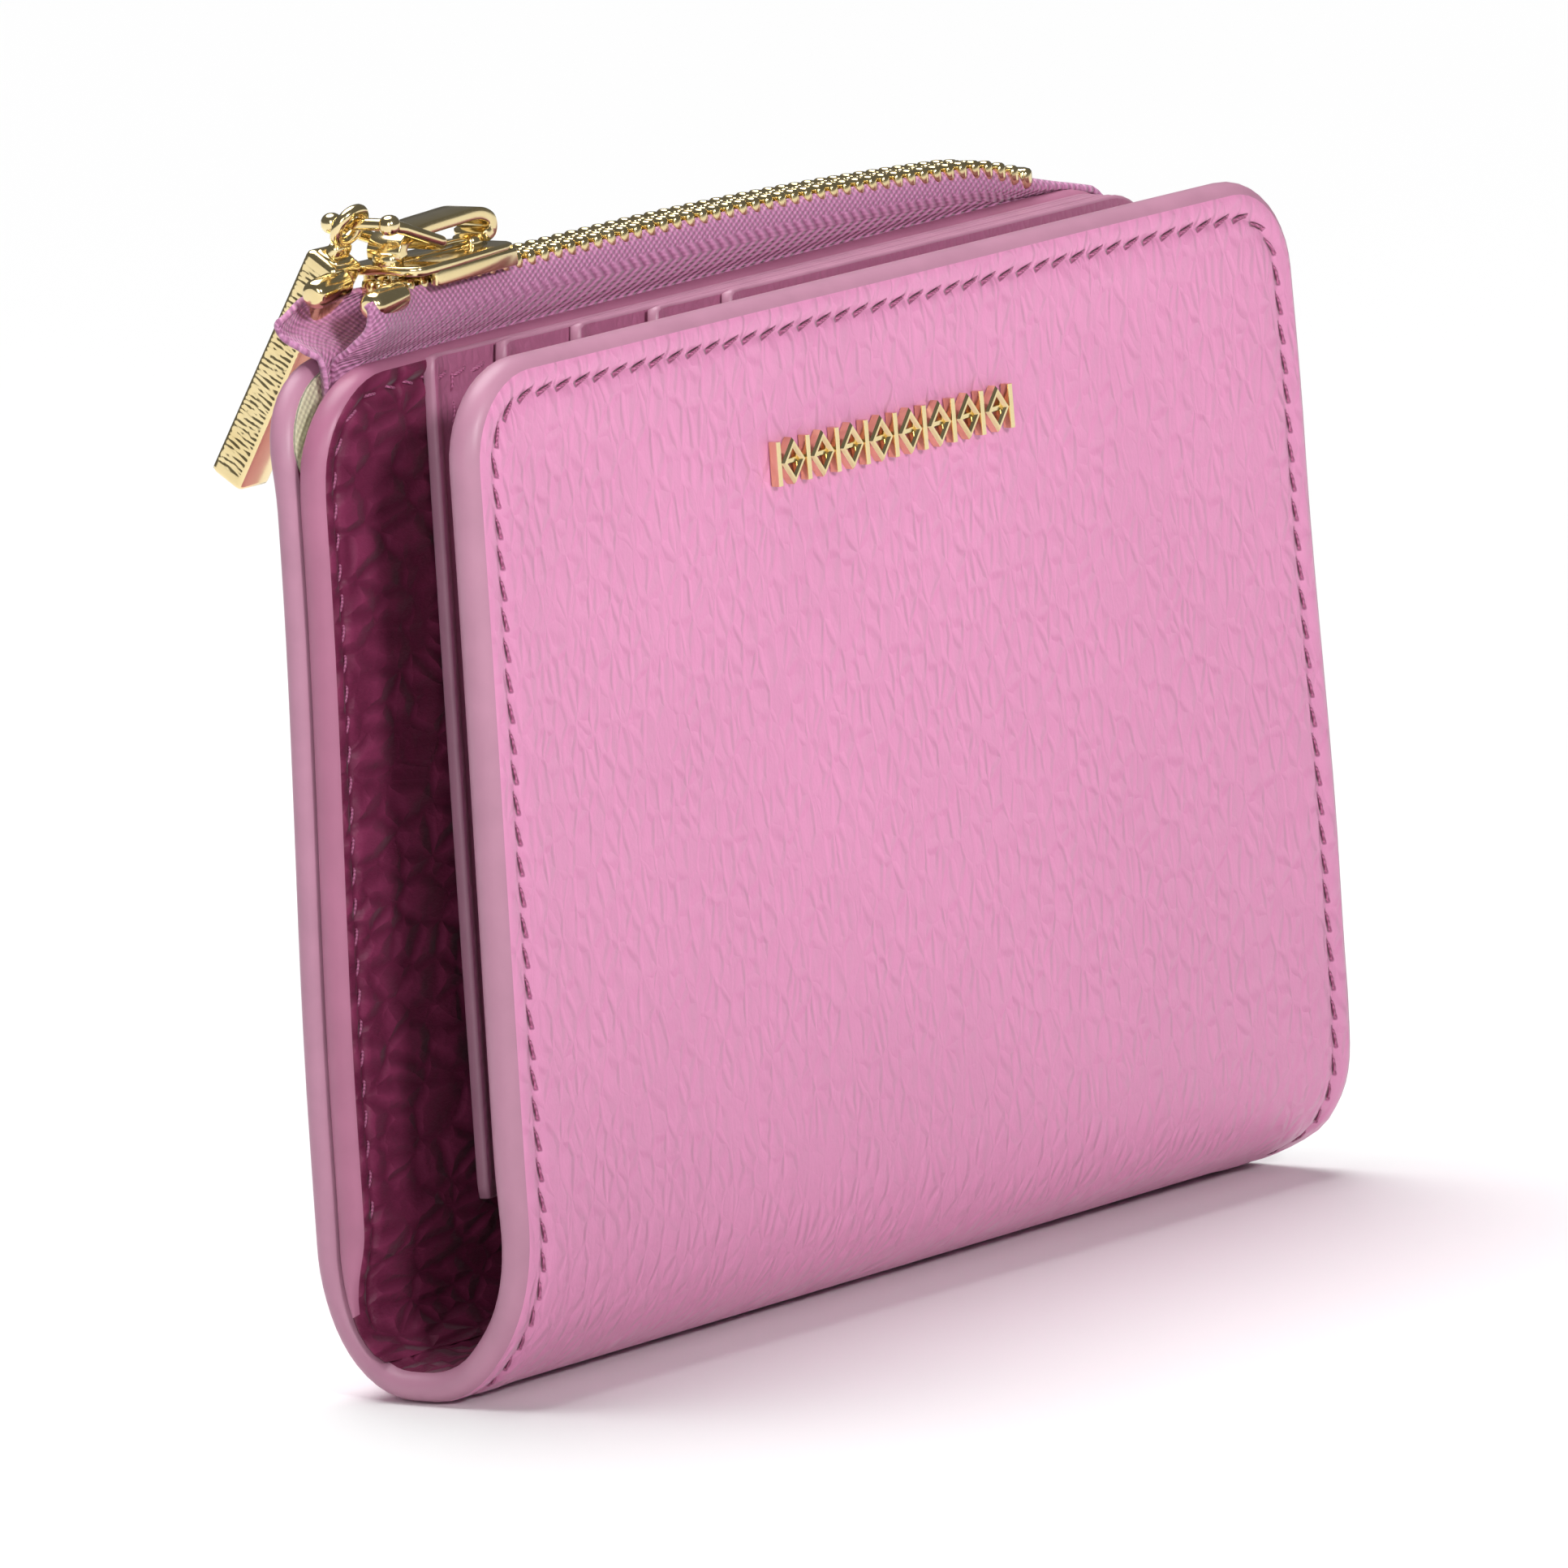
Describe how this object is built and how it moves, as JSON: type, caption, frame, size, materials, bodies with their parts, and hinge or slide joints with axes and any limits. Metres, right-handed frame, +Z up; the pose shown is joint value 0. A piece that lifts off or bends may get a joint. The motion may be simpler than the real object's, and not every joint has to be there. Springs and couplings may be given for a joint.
{
  "type": "wristlet wallet",
  "caption": "Compact bifold wallet of pebbled leather, folded along its bottom edge, with a zipped coin pocket along the top, side-entry card slots and a metal puller bar.",
  "frame": {"origin": "middle of the flat underside of the fold, on which the wallet stands", "axes": "+X to the right along the fold, +Y towards the back leaf, +Z up from the fold to the zip"},
  "size_m": [0.11, 0.0361, 0.0951],
  "materials": {
    "outer_leather": "fine upright pebble grain, soft satin, painted edges",
    "inner_leather": "coarse pebble grain, satin",
    "stiffener_board": "bonded leather board, raw",
    "pocket_cloth": "fine beige woven lining",
    "zip_tape": "herringbone woven tape",
    "gold_metal": "pale gold plate, polished"
  },
  "bodies": {
    "back_leaf": {"pocket_outer_leather": "outer_leather", "pocket_inner_leather": "inner_leather", "pocket_lining_inner": "pocket_cloth", "pocket_lining_outer": "pocket_cloth", "back_card_slot_1": "inner_leather", "back_card_slot_2": "inner_leather", "back_card_slot_3": "inner_leather", "back_card_slot_4": "inner_leather", "back_card_slot_5": "inner_leather", "press_stud_post": "gold_metal", "zip_tape_inner": "zip_tape", "zip_tape_outer": "zip_tape", "zip_teeth_inner": "gold_metal", "zip_teeth_outer": "gold_metal", "zip_top_stop_inner": "gold_metal", "zip_top_stop_outer": "gold_metal", "zip_bottom_stop": "gold_metal"},
    "fold": {"fold_leather": "outer_leather", "fold_lining": "inner_leather"},
    "front_cover": {"front_cover_leather": "outer_leather", "front_stiffener": "stiffener_board", "front_lining_leather": "inner_leather", "badge_bar": "gold_metal", "front_card_slot_1": "inner_leather", "front_card_slot_2": "inner_leather", "front_card_slot_3": "inner_leather", "press_stud_socket": "gold_metal"},
    "slider": {"slider_body": "gold_metal", "slider_crown": "gold_metal", "slider_lock_spring": "gold_metal"},
    "link": {"pull_link": "gold_metal"},
    "puller": {"puller_bar": "gold_metal"}
  },
  "joints": [
    {"name": "fold_back", "type": "hinge", "parent": "back_leaf", "child": "fold", "pos_m": [0, 0.00841, 0.00259], "axis": [1, 0, 0], "range_deg": [0, 90]},
    {"name": "fold_front", "type": "hinge", "parent": "fold", "child": "front_cover", "pos_m": [0, -0.0077, 0.0033], "axis": [1, 0, 0], "range_deg": [0, 90]},
    {"name": "zip_slide", "type": "slide", "parent": "back_leaf", "child": "slider", "axis": [1, 0, 0], "range_m": [0, 0.066]},
    {"name": "link_lift", "type": "hinge", "parent": "slider", "child": "link", "pos_m": [-0.0376, 0.00845, 0.0904], "axis": [0, 1, 0], "range_deg": [0, 110]},
    {"name": "puller_swing", "type": "hinge", "parent": "link", "child": "puller", "pos_m": [-0.04437, 0.0094, 0.09286], "axis": [0, 1, 0], "range_deg": [0, 110]}
  ],
  "couplings": [
    {"joint": "fold_front", "follows": "fold_back", "ratio": 1}
  ]
}
